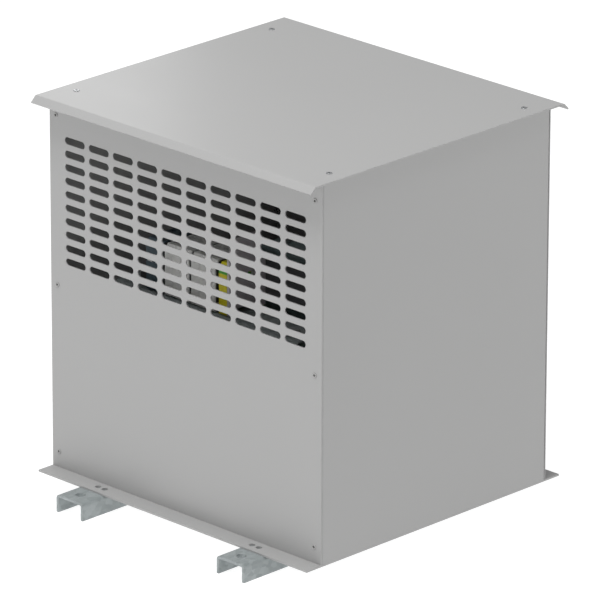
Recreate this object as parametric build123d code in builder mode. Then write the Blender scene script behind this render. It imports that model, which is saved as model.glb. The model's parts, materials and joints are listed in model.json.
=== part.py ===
from build123d import *
import math
import os

# Dry-type three-phase transformer in a ventilated sheet-steel housing on two channel rails.
# Millimetres. +Z up, the vented front faces -Y, the origin is on the floor under the middle.

# ---------------------------------------------------------------- driving dimensions
WIDTH = 400.0            # housing, left to right
DEPTH = 340.0            # housing, front panel face to rear panel face
HEIGHT = 440.0           # floor to the flat top of the roof
SHEET = 1.5              # housing sheet thickness
BEND = 1.8               # outside bend radius of the housing sheet

RAIL_HEIGHT = 20.0       # channel rails, open downwards
RAIL_WIDTH = 40.0
RAIL_WALL = 3.0
RAIL_BEND = 4.5
RAIL_LENGTH = 444.0
RAIL_SPACING = 240.0
FLOOR_HOLE_SPACING = 412.0
FLOOR_HOLE_R = 5.5

BASE_THICK = 2.0
BASE_LIP = 21.0          # base plate in front of and behind the panels
LIP_HOLE_R = 3.5
LIP_HOLE_PITCH = 10.0    # between the two holes of a pair
LIP_HOLE_OUT = 10.0      # in front of the panel face

ROOF_OVERHANG = 15.0     # bend line in front of the panel
ROOF_SIDE = 5.0
DRIP = 6.7               # drip edge, out and down
ROOF_BEND = 3.0

SLOT_LENGTH = 30.0
SLOT_WIDTH = 8.0
SLOT_PITCH_X = 36.0
SLOT_PITCH_Z = 15.0
SLOT_COUNT = 10
SLOT_CENTRE_Z = 326.0
BASE_SLOT_COLUMNS = 4
BASE_SLOT_ROWS = 14

LIMB = 40.0              # width of the core's limbs and yokes
WINDOW = 40.0
WINDOW_HEIGHT = 110.0
STACK = 90.0             # lamination stack, front to rear
CORE_Y = 15.0            # middle of the stack
CORE_BOTTOM = 36.0
CLAMP_WALL = 4.0
CLAMP_BEND = 6.0

TERMINAL_PITCH = 12.0
TERMINAL_DEPTH = 48.0
TERMINAL_HEIGHT = 56.0
LEAD_R = 2.5
EARTH_R = 3.0

# ---------------------------------------------------------------- derived places
BASE_TOP = RAIL_HEIGHT + BASE_THICK
ROOF_UNDER = HEIGHT - SHEET
FACE_Y = DEPTH / 2
INNER_Y = FACE_Y - SHEET
SIDE_X = WIDTH / 2
RAIL_X = RAIL_SPACING / 2
CLEAR = 0.1              # radial clearance of bolts, nuts and sleeves

LIP_HOLE_Y = FACE_Y + LIP_HOLE_OUT
CORE_FRONT = CORE_Y - STACK / 2
CORE_REAR = CORE_Y + STACK / 2
COIL_PITCH = LIMB + WINDOW
CORE_LENGTH = 3 * LIMB + 2 * WINDOW
WINDOW_BOTTOM = CORE_BOTTOM + LIMB
WINDOW_TOP = WINDOW_BOTTOM + WINDOW_HEIGHT
CORE_TOP = WINDOW_TOP + LIMB
COIL_X = (-COIL_PITCH, 0.0, COIL_PITCH)

DOWN = (Align.CENTER, Align.CENTER, Align.MAX)
UP = (Align.CENTER, Align.CENTER, Align.MIN)

os.makedirs("parts", exist_ok=True)


# ---------------------------------------------------------------- shared shapes
def bent_sheet(plane, points, bend, side, thick, length):
    """Sheet bent along an outline on a plane and drawn out to both sides of it."""
    with BuildPart() as sheet:
        with BuildSketch(plane):
            with BuildLine():
                FilletPolyline(*points, radius=bend)
                offset(amount=thick, side=side)
            make_face()
        extrude(amount=length / 2, both=True)
    return sheet.part


def hex_bolt(thread_r, length, head_r, head_height):
    """Hexagon bolt pointing down with its seat at the origin."""
    with BuildPart() as bolt:
        with BuildSketch():
            RegularPolygon(head_r, 6)
        extrude(amount=head_height)
        Cylinder(thread_r, length, align=DOWN)
    return bolt.part


def hex_nut(bore_r, head_r, height):
    """Hexagon nut hanging below the origin."""
    with BuildPart() as nut:
        with BuildSketch():
            RegularPolygon(head_r, 6)
            Circle(bore_r, mode=Mode.SUBTRACT)
        extrude(amount=-height)
    return nut.part


def domed_screw(thread_r, length, head_r, head_height, socket_r):
    """Low domed socket screw pointing down with its seat at the origin."""
    with BuildPart() as screw:
        Cylinder(head_r, head_height, align=UP)
        fillet(screw.edges().sort_by(Axis.Z)[-1], head_height * 0.6)
        Cylinder(thread_r, length, align=DOWN)
        with BuildSketch(Plane.XY.offset(head_height)):
            RegularPolygon(socket_r, 6)
        extrude(amount=-head_height - thread_r / 2, mode=Mode.SUBTRACT)
    return screw.part


def rivet_nut(bore_r, barrel_r, bulge_r, depth):
    """Flush blind rivet nut pointing down from the origin, its bulge behind the sheet."""
    with BuildPart() as nut:
        Cylinder(barrel_r, depth, align=DOWN)
        with Locations((0, 0, -SHEET)):
            Cylinder(bulge_r, 2.0, align=DOWN)
        Cylinder(bore_r, 3 * depth, mode=Mode.SUBTRACT)
    return nut.part


def route_radii(points):
    """Bend radius of each corner, as large as its two runs allow."""
    corners = []
    for before, here, after in zip(points, points[1:], points[2:]):
        run_in = Vector(*here) - Vector(*before)
        run_out = Vector(*after) - Vector(*here)
        half_turn = math.radians(run_in.get_angle(run_out)) / 2
        corners.append(0.45 * min(run_in.length, run_out.length) / math.tan(half_turn))
    return corners


def tube_along(points, tube_r):
    """Round conductor along straight runs joined by tangent arcs."""
    with BuildPart() as tube:
        with BuildLine() as route:
            FilletPolyline(*points, radius=route_radii(points))
        with BuildSketch(Plane(origin=points[0], z_dir=route.line % 0)):
            Circle(tube_r)
        sweep(path=route.line)
    return tube.part


# ---------------------------------------------------------------- feet of the transformer
FOOT_HOLE_R = 4.5
FOOT_WIDTH = 40.0
FOOT_HOLE_OFFSET = STACK / 2 + 24.0
FOOT_HOLE_Y = (CORE_Y - FOOT_HOLE_OFFSET, CORE_Y + FOOT_HOLE_OFFSET)
FOOT_PLACES = [(x, y) for x in (-RAIL_X, RAIL_X) for y in FOOT_HOLE_Y]
PAD_R = 15.0
PAD_TOP = CORE_BOTTOM - CLAMP_WALL
M8_R = 4.0
M8_HEAD_R = 7.5

with BuildPart() as foot_pads:
    with BuildSketch(Plane.XY.offset(BASE_TOP)):
        with Locations(*FOOT_PLACES):
            Circle(PAD_R)
            Circle(FOOT_HOLE_R, mode=Mode.SUBTRACT)
    extrude(amount=PAD_TOP - BASE_TOP)
foot_pads.part.label = "foot_pads"
export_step(foot_pads.part, "parts/foot_pads.step")

FOOT_BOLT = hex_bolt(M8_R, CORE_BOTTOM - 9.0, M8_HEAD_R, 5.3)
with BuildPart() as foot_bolts:
    with Locations(*[(x, y, CORE_BOTTOM) for x, y in FOOT_PLACES]):
        add(FOOT_BOLT)
foot_bolts.part.label = "foot_bolts"
export_step(foot_bolts.part, "parts/foot_bolts.step")

M8_NUT = hex_nut(M8_R + CLEAR, M8_HEAD_R, 6.5)
with BuildPart() as foot_nuts:
    with Locations(*[(x, y, RAIL_HEIGHT - RAIL_WALL) for x, y in FOOT_PLACES]):
        add(M8_NUT)
foot_nuts.part.label = "foot_nuts"
export_step(foot_nuts.part, "parts/foot_nuts.step")

# ---------------------------------------------------------------- rails and base plate
for rail_name, rail_x, inboard in (("rail_left", -RAIL_X, 1), ("rail_right", RAIL_X, -1)):
    left, right = rail_x - RAIL_WIDTH / 2, rail_x + RAIL_WIDTH / 2
    rail_outline = [(left, 0), (left, RAIL_HEIGHT), (right, RAIL_HEIGHT), (right, 0)]
    channel = bent_sheet(Plane.XZ, rail_outline, RAIL_BEND, Side.RIGHT, RAIL_WALL, RAIL_LENGTH)
    with BuildPart() as rail:
        add(channel)
        with Locations((rail_x, 0, RAIL_HEIGHT)):
            with GridLocations(1, FLOOR_HOLE_SPACING, 1, 2):
                Hole(FLOOR_HOLE_R, depth=2 * RAIL_WALL)
            with GridLocations(1, 2 * LIP_HOLE_Y, 1, 2):
                Hole(LIP_HOLE_R, depth=2 * RAIL_WALL)
        with Locations((rail_x + inboard * LIP_HOLE_PITCH, 0, RAIL_HEIGHT)):
            with GridLocations(1, 2 * LIP_HOLE_Y, 1, 2):
                Hole(LIP_HOLE_R, depth=2 * RAIL_WALL)
        with Locations(*[(rail_x, y, RAIL_HEIGHT) for y in FOOT_HOLE_Y]):
            Hole(FOOT_HOLE_R, depth=2 * RAIL_WALL)
    rail.part.label = rail_name
    export_step(rail.part, f"parts/{rail_name}.step")

BASE_BOLT_X = SIDE_X - 17.0
BASE_BOLT_Y = (-120.0, 120.0)
BASE_BOLT_PLACES = [(x, y) for x in (-BASE_BOLT_X, BASE_BOLT_X) for y in BASE_BOLT_Y]
M5_R = 2.5
M5_HEAD_R = 4.6

with BuildPart() as base_plate:
    with BuildSketch(Plane.XY.offset(RAIL_HEIGHT)):
        Rectangle(WIDTH, DEPTH + 2 * BASE_LIP)
        with GridLocations(2 * RAIL_X, 2 * LIP_HOLE_Y, 2, 2):
            Circle(LIP_HOLE_R, mode=Mode.SUBTRACT)
        with GridLocations(2 * (RAIL_X - LIP_HOLE_PITCH), 2 * LIP_HOLE_Y, 2, 2):
            Circle(LIP_HOLE_R, mode=Mode.SUBTRACT)
        with Locations(*FOOT_PLACES):
            Circle(FOOT_HOLE_R, mode=Mode.SUBTRACT)
        with Locations(*BASE_BOLT_PLACES):
            Circle(M5_R + 2 * CLEAR, mode=Mode.SUBTRACT)
        with GridLocations(SLOT_PITCH_X, SLOT_PITCH_Z, BASE_SLOT_COLUMNS, BASE_SLOT_ROWS):
            SlotOverall(SLOT_LENGTH, SLOT_WIDTH, mode=Mode.SUBTRACT)
    extrude(amount=BASE_THICK)
base_plate.part.label = "base_plate"
export_step(base_plate.part, "parts/base_plate.step")

# ---------------------------------------------------------------- side panels
SIDE_FLANGE = 16.5       # behind the front and rear panels
EDGE_FLANGE = 25.0       # under the roof and on the base
EDGE_FLANGE_END = INNER_Y - 15.0
SIDE_TOP = ROOF_UNDER
M4_R = 2.0
BARREL_R = 2.9
BARREL_HOLE_R = BARREL_R + CLEAR
PANEL_SCREW_X = SIDE_X - 10.0
PANEL_SCREW_Z = (40.0, 229.0, 418.0)
ROOF_SCREW_X = SIDE_X - 15.0
ROOF_SCREW_Y = FACE_Y - 25.0

for panel_name, sign in (("side_panel_left", -1), ("side_panel_right", 1)):
    start_y = sign * INNER_Y
    side_outline = [
        (sign * (SIDE_X - SIDE_FLANGE), start_y),
        (sign * SIDE_X, start_y),
        (sign * SIDE_X, -start_y),
        (sign * (SIDE_X - SIDE_FLANGE), -start_y),
    ]
    mid_height = Plane.XY.offset((BASE_TOP + SIDE_TOP) / 2)
    wrap = bent_sheet(mid_height, side_outline, BEND, Side.RIGHT, SHEET, SIDE_TOP - BASE_TOP)
    with BuildPart() as side_panel:
        add(wrap)
        for flange_z in (BASE_TOP, SIDE_TOP - SHEET):
            with BuildSketch(Plane.XY.offset(flange_z)):
                with Locations((sign * (SIDE_X - SHEET / 2 - EDGE_FLANGE / 2), 0)):
                    Rectangle(EDGE_FLANGE, 2 * EDGE_FLANGE_END)
            extrude(amount=SHEET)
        with Locations(*[(sign * ROOF_SCREW_X, y, SIDE_TOP) for y in (-ROOF_SCREW_Y, ROOF_SCREW_Y)]):
            Hole(BARREL_HOLE_R, depth=2 * SHEET)
        with Locations(*[(sign * BASE_BOLT_X, y, BASE_TOP + SHEET) for y in BASE_BOLT_Y]):
            Hole(M5_R + 2 * CLEAR, depth=2 * SHEET)
        with Locations(*[Location((sign * PANEL_SCREW_X, 0, z), (90, 0, 0)) for z in PANEL_SCREW_Z]):
            Cylinder(BARREL_HOLE_R, DEPTH, mode=Mode.SUBTRACT)
    side_panel.part.label = panel_name
    export_step(side_panel.part, f"parts/{panel_name}.step")

# ---------------------------------------------------------------- front and rear panels
PANEL_LOW = BASE_TOP
PANEL_HIGH = ROOF_UNDER - 1.0
PANEL_EDGE_R = 0.6
GLAND_X = 60.0
GLAND_Z = 80.0
GLAND_THREAD_R = 15.9
PANEL_SCREWS = [(x, z) for x in (-PANEL_SCREW_X, PANEL_SCREW_X) for z in PANEL_SCREW_Z]

with BuildPart() as front_panel:
    with BuildSketch(Plane.XZ.offset(INNER_Y)):
        with Locations((0, (PANEL_LOW + PANEL_HIGH) / 2)):
            Rectangle(WIDTH, PANEL_HIGH - PANEL_LOW)
        with Locations((0, SLOT_CENTRE_Z)):
            with GridLocations(SLOT_PITCH_X, SLOT_PITCH_Z, SLOT_COUNT, SLOT_COUNT):
                SlotOverall(SLOT_LENGTH, SLOT_WIDTH, mode=Mode.SUBTRACT)
        with Locations(*PANEL_SCREWS):
            Circle(M4_R + 2 * CLEAR, mode=Mode.SUBTRACT)
    extrude(amount=SHEET)
    outer_edges = front_panel.edges().filter_by(Axis.Z).group_by(Axis.Y)[0]
    fillet(outer_edges, PANEL_EDGE_R)
front_panel.part.label = "front_panel"
export_step(front_panel.part, "parts/front_panel.step")

with BuildPart() as rear_panel:
    add(mirror(front_panel.part, about=Plane.XZ))
    with BuildSketch(Plane.XZ.offset(-FACE_Y)):
        with Locations((-GLAND_X, GLAND_Z), (GLAND_X, GLAND_Z)):
            Circle(GLAND_THREAD_R + 3 * CLEAR)
    extrude(amount=2 * SHEET, mode=Mode.SUBTRACT)
rear_panel.part.label = "rear_panel"
export_step(rear_panel.part, "parts/rear_panel.step")

PANEL_SCREW = domed_screw(M4_R, 9.0, 2.8, 0.8, 1.5)
with BuildPart() as panel_screws:
    with Locations(*[Location((x, -FACE_Y, z), (90, 0, 0)) for x, z in PANEL_SCREWS]):
        add(PANEL_SCREW)
    with Locations(*[Location((x, FACE_Y, z), (-90, 0, 0)) for x, z in PANEL_SCREWS]):
        add(PANEL_SCREW)
panel_screws.part.label = "panel_screws"
export_step(panel_screws.part, "parts/panel_screws.step")

RIVET_NUT = rivet_nut(M4_R + CLEAR, BARREL_R, 4.0, 9.5)
with BuildPart() as panel_rivet_nuts:
    with Locations(*[Location((x, -INNER_Y, z), (90, 0, 0)) for x, z in PANEL_SCREWS]):
        add(RIVET_NUT)
    with Locations(*[Location((x, INNER_Y, z), (-90, 0, 0)) for x, z in PANEL_SCREWS]):
        add(RIVET_NUT)
panel_rivet_nuts.part.label = "panel_rivet_nuts"
export_step(panel_rivet_nuts.part, "parts/panel_rivet_nuts.step")

# ---------------------------------------------------------------- roof
ROOF_HALF = FACE_Y + ROOF_OVERHANG
ROOF_OUTLINE = [
    (-ROOF_HALF - DRIP, HEIGHT - DRIP),
    (-ROOF_HALF, HEIGHT),
    (ROOF_HALF, HEIGHT),
    (ROOF_HALF + DRIP, HEIGHT - DRIP),
]
ROOF_SHEET = bent_sheet(Plane.YZ, ROOF_OUTLINE, ROOF_BEND, Side.RIGHT, SHEET, WIDTH + 2 * ROOF_SIDE)
with BuildPart() as roof_plate:
    add(ROOF_SHEET)
    with Locations((0, 0, HEIGHT)):
        with GridLocations(2 * ROOF_SCREW_X, 2 * ROOF_SCREW_Y, 2, 2):
            Hole(M4_R + 2 * CLEAR, depth=2 * SHEET)
roof_plate.part.label = "roof_plate"
export_step(roof_plate.part, "parts/roof_plate.step")

ROOF_SCREW = domed_screw(M4_R, 9.0, 3.4, 0.8, 1.3)
with BuildPart() as roof_screws:
    with Locations((0, 0, HEIGHT)):
        with GridLocations(2 * ROOF_SCREW_X, 2 * ROOF_SCREW_Y, 2, 2):
            add(ROOF_SCREW)
roof_screws.part.label = "roof_screws"
export_step(roof_screws.part, "parts/roof_screws.step")

with BuildPart() as roof_rivet_nuts:
    with Locations((0, 0, SIDE_TOP)):
        with GridLocations(2 * ROOF_SCREW_X, 2 * ROOF_SCREW_Y, 2, 2):
            add(RIVET_NUT)
roof_rivet_nuts.part.label = "roof_rivet_nuts"
export_step(roof_rivet_nuts.part, "parts/roof_rivet_nuts.step")

# ---------------------------------------------------------------- base bolts
BASE_BOLT = hex_bolt(M5_R, 12.0, M5_HEAD_R, 3.5)
with BuildPart() as base_bolts:
    with Locations(*[(x, y, BASE_TOP + SHEET) for x, y in BASE_BOLT_PLACES]):
        add(BASE_BOLT)
base_bolts.part.label = "base_bolts"
export_step(base_bolts.part, "parts/base_bolts.step")

M5_NUT = hex_nut(M5_R + CLEAR, M5_HEAD_R, 4.0)
with BuildPart() as base_nuts:
    with Locations(*[(x, y, RAIL_HEIGHT) for x, y in BASE_BOLT_PLACES]):
        add(M5_NUT)
base_nuts.part.label = "base_nuts"
export_step(base_nuts.part, "parts/base_nuts.step")

# ---------------------------------------------------------------- laminated core
YOKE_BOLT_X = 60.0       # through the yokes
END_BOLT_X = 115.0       # past the ends of the yokes
LOWER_BOLT_Z = CORE_BOTTOM + LIMB / 2
UPPER_BOLT_Z = CORE_TOP - 18.0
SLEEVE_R = 5.0

for yoke_name, yoke_z, bolt_z in (
    ("core_lower_yoke", CORE_BOTTOM, LOWER_BOLT_Z),
    ("core_upper_yoke", WINDOW_TOP, UPPER_BOLT_Z),
):
    with BuildPart() as yoke:
        with BuildSketch(Plane.XZ.offset(-CORE_REAR)):
            with Locations((0, yoke_z + LIMB / 2)):
                Rectangle(CORE_LENGTH, LIMB)
            with Locations((-YOKE_BOLT_X, bolt_z), (YOKE_BOLT_X, bolt_z)):
                Circle(SLEEVE_R + CLEAR, mode=Mode.SUBTRACT)
        extrude(amount=STACK)
    yoke.part.label = yoke_name
    export_step(yoke.part, f"parts/{yoke_name}.step")

for limb_name, limb_x in zip(("core_limb_left", "core_limb_middle", "core_limb_right"), COIL_X):
    with BuildPart() as limb:
        with BuildSketch(Plane.XY.offset(WINDOW_BOTTOM)):
            with Locations((limb_x, CORE_Y)):
                Rectangle(LIMB, STACK)
        extrude(amount=WINDOW_HEIGHT)
    limb.part.label = limb_name
    export_step(limb.part, f"parts/{limb_name}.step")

# ---------------------------------------------------------------- core clamps
LOWER_CLAMP_TOP = 72.0
UPPER_CLAMP_LOW = WINDOW_TOP + 4.0
UPPER_CLAMP_TOP = CORE_TOP + 4.0
FRONT_SHELF = 24.0
REAR_SHELF = 44.0
FRONT_SHELF_Z = UPPER_CLAMP_LOW + CLAMP_WALL
REAR_SHELF_Z = UPPER_CLAMP_TOP
ARM_X = 110.0
M6_R = 3.0
M6_HEAD_R = 5.8
M6_HOLE_R = M6_R + 2 * CLEAR
FRONT_SHELF_HOLE_Y = CORE_FRONT - 13.0
REAR_SHELF_HOLE_Y = CORE_REAR + 34.0
EARTH_X = 24.0
LOWER_CLAMP_LENGTH = RAIL_SPACING + 2 * PAD_R
UPPER_CLAMP_LENGTH = 2 * END_BOLT_X + 20.0

CLAMPS = (
    ("lower_clamp_front", Side.LEFT, LOWER_CLAMP_LENGTH, LOWER_BOLT_Z,
     [(CORE_FRONT - FOOT_WIDTH, PAD_TOP), (CORE_FRONT, PAD_TOP), (CORE_FRONT, LOWER_CLAMP_TOP)],
     [(x, FOOT_HOLE_Y[0], FOOT_HOLE_R) for x in (-RAIL_X, RAIL_X)]),
    ("lower_clamp_rear", Side.RIGHT, LOWER_CLAMP_LENGTH, LOWER_BOLT_Z,
     [(CORE_REAR + FOOT_WIDTH, PAD_TOP), (CORE_REAR, PAD_TOP), (CORE_REAR, LOWER_CLAMP_TOP)],
     [(x, FOOT_HOLE_Y[1], FOOT_HOLE_R) for x in (-RAIL_X, RAIL_X)]),
    ("upper_clamp_front", Side.LEFT, UPPER_CLAMP_LENGTH, UPPER_BOLT_Z,
     [(CORE_FRONT - FRONT_SHELF, UPPER_CLAMP_LOW), (CORE_FRONT, UPPER_CLAMP_LOW), (CORE_FRONT, CORE_TOP)],
     [(x, FRONT_SHELF_HOLE_Y, M6_HOLE_R) for x in (-ARM_X, EARTH_X, ARM_X)]),
    ("upper_clamp_rear", Side.LEFT, UPPER_CLAMP_LENGTH, UPPER_BOLT_Z,
     [(CORE_REAR + REAR_SHELF, UPPER_CLAMP_TOP), (CORE_REAR, UPPER_CLAMP_TOP), (CORE_REAR, UPPER_CLAMP_LOW)],
     [(x, REAR_SHELF_HOLE_Y, M6_HOLE_R) for x in (-ARM_X, ARM_X)]),
)
BOLT_X = (-END_BOLT_X, -YOKE_BOLT_X, YOKE_BOLT_X, END_BOLT_X)

for clamp_name, side, clamp_length, bolt_z, outline, shelf_holes in CLAMPS:
    angle = bent_sheet(Plane.YZ, outline, CLAMP_BEND, side, CLAMP_WALL, clamp_length)
    with BuildPart() as clamp:
        add(angle)
        with Locations(*[Location((x, CORE_Y, bolt_z), (90, 0, 0)) for x in BOLT_X]):
            Cylinder(M8_R + 4 * CLEAR, 2 * STACK, mode=Mode.SUBTRACT)
        for hole_x, hole_y, hole_r in shelf_holes:
            with Locations((hole_x, hole_y, bolt_z)):
                Cylinder(hole_r, 2 * LIMB, mode=Mode.SUBTRACT)
    clamp.part.label = clamp_name
    export_step(clamp.part, f"parts/{clamp_name}.step")

CLAMP_PLACES = [(x, z) for x in BOLT_X for z in (LOWER_BOLT_Z, UPPER_BOLT_Z)]
CLAMP_BOLT = hex_bolt(M8_R, STACK + 2 * CLAMP_WALL + 9.0, M8_HEAD_R, 5.3)
with BuildPart() as clamp_bolts:
    with Locations(*[Location((x, CORE_FRONT - CLAMP_WALL, z), (90, 0, 0)) for x, z in CLAMP_PLACES]):
        add(CLAMP_BOLT)
clamp_bolts.part.label = "clamp_bolts"
export_step(clamp_bolts.part, "parts/clamp_bolts.step")

with BuildPart() as clamp_nuts:
    with Locations(*[Location((x, CORE_REAR + CLAMP_WALL, z), (90, 0, 0)) for x, z in CLAMP_PLACES]):
        add(M8_NUT)
clamp_nuts.part.label = "clamp_nuts"
export_step(clamp_nuts.part, "parts/clamp_nuts.step")

with BuildPart() as clamp_sleeves:
    with BuildSketch(Plane.XZ.offset(-CORE_REAR)):
        with Locations(*[(x, z) for x in (-YOKE_BOLT_X, YOKE_BOLT_X) for z in (LOWER_BOLT_Z, UPPER_BOLT_Z)]):
            Circle(SLEEVE_R)
            Circle(M8_R + 3 * CLEAR, mode=Mode.SUBTRACT)
    extrude(amount=STACK)
clamp_sleeves.part.label = "clamp_sleeves"
export_step(clamp_sleeves.part, "parts/clamp_sleeves.step")

# ---------------------------------------------------------------- coils
COIL_LOW = WINDOW_BOTTOM + 1.0
COIL_HIGH = WINDOW_TOP - 1.0
CHEEK = 2.5
CHEEK_SPAN = 77.0        # across the cheeks, left to right
SPAN_TO_DEPTH = STACK - LIMB
FORMER_SPAN = 45.0
INNER_SPAN = 59.0
DUCT = 3.0
OUTER_BORE_SPAN = INNER_SPAN + 2 * DUCT
OUTER_SPAN = 75.0
WRAP = 0.7
WINDING_LOW = COIL_LOW + CHEEK
WINDING_HIGH = COIL_HIGH - CHEEK


def coil_ring(x_centre, z_low, z_high, outer_span, inner_span, corner):
    """Rounded ring round a limb, given by its outer and inner left-to-right spans."""
    with BuildPart() as ring:
        with BuildSketch(Plane.XY.offset(z_low)):
            with Locations((x_centre, CORE_Y)):
                RectangleRounded(outer_span, outer_span + SPAN_TO_DEPTH, corner)
                inner_corner = max(corner - (outer_span - inner_span) / 2, 1.0)
                RectangleRounded(
                    inner_span, inner_span + SPAN_TO_DEPTH, inner_corner, mode=Mode.SUBTRACT
                )
        extrude(amount=z_high - z_low)
    return ring.part


with BuildPart() as coil_formers:
    for coil_x in COIL_X:
        add(coil_ring(coil_x, COIL_LOW, COIL_HIGH, FORMER_SPAN, LIMB + 1.0, 3.0))
        add(coil_ring(coil_x, COIL_LOW, WINDING_LOW, CHEEK_SPAN, LIMB + 1.0, 14.0))
        add(coil_ring(coil_x, WINDING_HIGH, COIL_HIGH, CHEEK_SPAN, LIMB + 1.0, 14.0))
coil_formers.part.label = "coil_formers"
export_step(coil_formers.part, "parts/coil_formers.step")

for coil_name, coil_x in zip(("left", "middle", "right"), COIL_X):
    inner_winding = coil_ring(coil_x, WINDING_LOW, WINDING_HIGH, INNER_SPAN, FORMER_SPAN + 0.4, 8.0)
    inner_winding.label = f"inner_winding_{coil_name}"
    export_step(inner_winding, f"parts/inner_winding_{coil_name}.step")
    outer_winding = coil_ring(coil_x, WINDING_LOW, WINDING_HIGH, OUTER_SPAN, OUTER_BORE_SPAN, 14.0)
    outer_winding.label = f"outer_winding_{coil_name}"
    export_step(outer_winding, f"parts/outer_winding_{coil_name}.step")

with BuildPart() as outer_wraps:
    for coil_x in COIL_X:
        add(coil_ring(
            coil_x, WINDING_LOW, WINDING_HIGH, OUTER_SPAN + 0.4 + 2 * WRAP, OUTER_SPAN + 0.4, 14.9
        ))
outer_wraps.part.label = "outer_wraps"
export_step(outer_wraps.part, "parts/outer_wraps.step")

STICK = DUCT - 2 * CLEAR
STICK_WIDTH = 6.0
SIDE_STICK_PITCH = 24.0
END_STICK_PITCH = 18.0
with BuildPart() as duct_spacers:
    for coil_x in COIL_X:
        with BuildSketch(Plane.XY.offset(WINDING_LOW)):
            with Locations((coil_x, CORE_Y)):
                with GridLocations(INNER_SPAN + DUCT, SIDE_STICK_PITCH, 2, 4):
                    Rectangle(STICK, STICK_WIDTH)
                with GridLocations(END_STICK_PITCH, INNER_SPAN + SPAN_TO_DEPTH + DUCT, 3, 2):
                    Rectangle(STICK_WIDTH, STICK)
        extrude(amount=WINDING_HIGH - WINDING_LOW)
duct_spacers.part.label = "duct_spacers"
export_step(duct_spacers.part, "parts/duct_spacers.step")

# ---------------------------------------------------------------- brackets above the core
BRACKET_WALL = 2.5
BRACKET_BEND = 4.0
BRACKET_LIP = 25.0
BRACKET_LENGTH = 268.0
BRACKET_FRONT = -139.0
BRACKET_REAR = -99.0
BRACKET_TOP = 241.0
BAR_FRONT = 112.0
BAR_REAR = 139.0
BAR_TOP = 205.0
ARM_WALL = 3.0
ARM_WIDTH = 24.0
BRACKET_HOLE_Y = BRACKET_REAR - 19.0
BAR_HOLE_Y = BAR_REAR - 16.0

BRACKET_OUTLINE = [
    (BRACKET_REAR, BRACKET_TOP),
    (BRACKET_FRONT, BRACKET_TOP),
    (BRACKET_FRONT, BRACKET_TOP - BRACKET_LIP),
]
BRACKET_ANGLE = bent_sheet(
    Plane.YZ, BRACKET_OUTLINE, BRACKET_BEND, Side.LEFT, BRACKET_WALL, BRACKET_LENGTH
)
with BuildPart() as terminal_bracket:
    add(BRACKET_ANGLE)
    with Locations((-ARM_X, BRACKET_HOLE_Y, BRACKET_TOP), (ARM_X, BRACKET_HOLE_Y, BRACKET_TOP)):
        Hole(M6_HOLE_R, depth=2 * BRACKET_WALL)
terminal_bracket.part.label = "terminal_bracket"
export_step(terminal_bracket.part, "parts/terminal_bracket.step")

BAR_OUTLINE = [(BAR_FRONT, BAR_TOP), (BAR_REAR, BAR_TOP), (BAR_REAR, BAR_TOP - BRACKET_LIP)]
BAR_ANGLE = bent_sheet(Plane.YZ, BAR_OUTLINE, BRACKET_BEND, Side.RIGHT, BRACKET_WALL, BRACKET_LENGTH)
with BuildPart() as cable_support_bar:
    add(BAR_ANGLE)
    with Locations((-ARM_X, BAR_HOLE_Y, BAR_TOP), (ARM_X, BAR_HOLE_Y, BAR_TOP)):
        Hole(M6_HOLE_R, depth=2 * BRACKET_WALL)
cable_support_bar.part.label = "cable_support_bar"
export_step(cable_support_bar.part, "parts/cable_support_bar.step")

ARM_RISE_Y = CORE_FRONT - FRONT_SHELF
FRONT_ARM_OUTLINE = [
    (ARM_RISE_Y + 18.0, FRONT_SHELF_Z),
    (ARM_RISE_Y, FRONT_SHELF_Z),
    (ARM_RISE_Y, BRACKET_TOP - BRACKET_WALL - ARM_WALL),
    (BRACKET_FRONT + 5.0, BRACKET_TOP - BRACKET_WALL - ARM_WALL),
]
ARM_DROP_Y = CORE_REAR + REAR_SHELF + ARM_WALL
REAR_ARM_OUTLINE = [
    (ARM_DROP_Y - 25.0, REAR_SHELF_Z - CLAMP_WALL),
    (ARM_DROP_Y, REAR_SHELF_Z - CLAMP_WALL),
    (ARM_DROP_Y, BAR_TOP - BRACKET_WALL),
    (BAR_REAR - 5.0, BAR_TOP - BRACKET_WALL),
]
with BuildPart() as bracket_arms:
    for arm_x in (-ARM_X, ARM_X):
        plane = Plane.YZ.offset(arm_x)
        add(bent_sheet(plane, FRONT_ARM_OUTLINE, BRACKET_BEND, Side.RIGHT, ARM_WALL, ARM_WIDTH))
        add(bent_sheet(plane, REAR_ARM_OUTLINE, BRACKET_BEND, Side.RIGHT, ARM_WALL, ARM_WIDTH))
    for hole_y in (FRONT_SHELF_HOLE_Y, BRACKET_HOLE_Y, REAR_SHELF_HOLE_Y, BAR_HOLE_Y):
        with Locations((-ARM_X, hole_y, BRACKET_TOP), (ARM_X, hole_y, BRACKET_TOP)):
            Cylinder(M6_HOLE_R, BRACKET_TOP, mode=Mode.SUBTRACT)
bracket_arms.part.label = "bracket_arms"
export_step(bracket_arms.part, "parts/bracket_arms.step")

# bolt seat height and the underside that its nut sits against, for each row of bracket bolts
EARTH_LUG_THICK = 2.0
BRACKET_JOINTS = [
    (x, y, seat, underside)
    for y, seat, underside in (
        (FRONT_SHELF_HOLE_Y, FRONT_SHELF_Z + ARM_WALL, UPPER_CLAMP_LOW),
        (BRACKET_HOLE_Y, BRACKET_TOP, BRACKET_TOP - BRACKET_WALL - ARM_WALL),
        (REAR_SHELF_HOLE_Y, REAR_SHELF_Z, REAR_SHELF_Z - CLAMP_WALL - ARM_WALL),
        (BAR_HOLE_Y, BAR_TOP, BAR_TOP - BRACKET_WALL - ARM_WALL),
    )
    for x in (-ARM_X, ARM_X)
]
BRACKET_JOINTS.append((EARTH_X, FRONT_SHELF_HOLE_Y, FRONT_SHELF_Z + EARTH_LUG_THICK, UPPER_CLAMP_LOW))
M6_BOLT = hex_bolt(M6_R, 11.0, M6_HEAD_R, 4.0)
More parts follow.
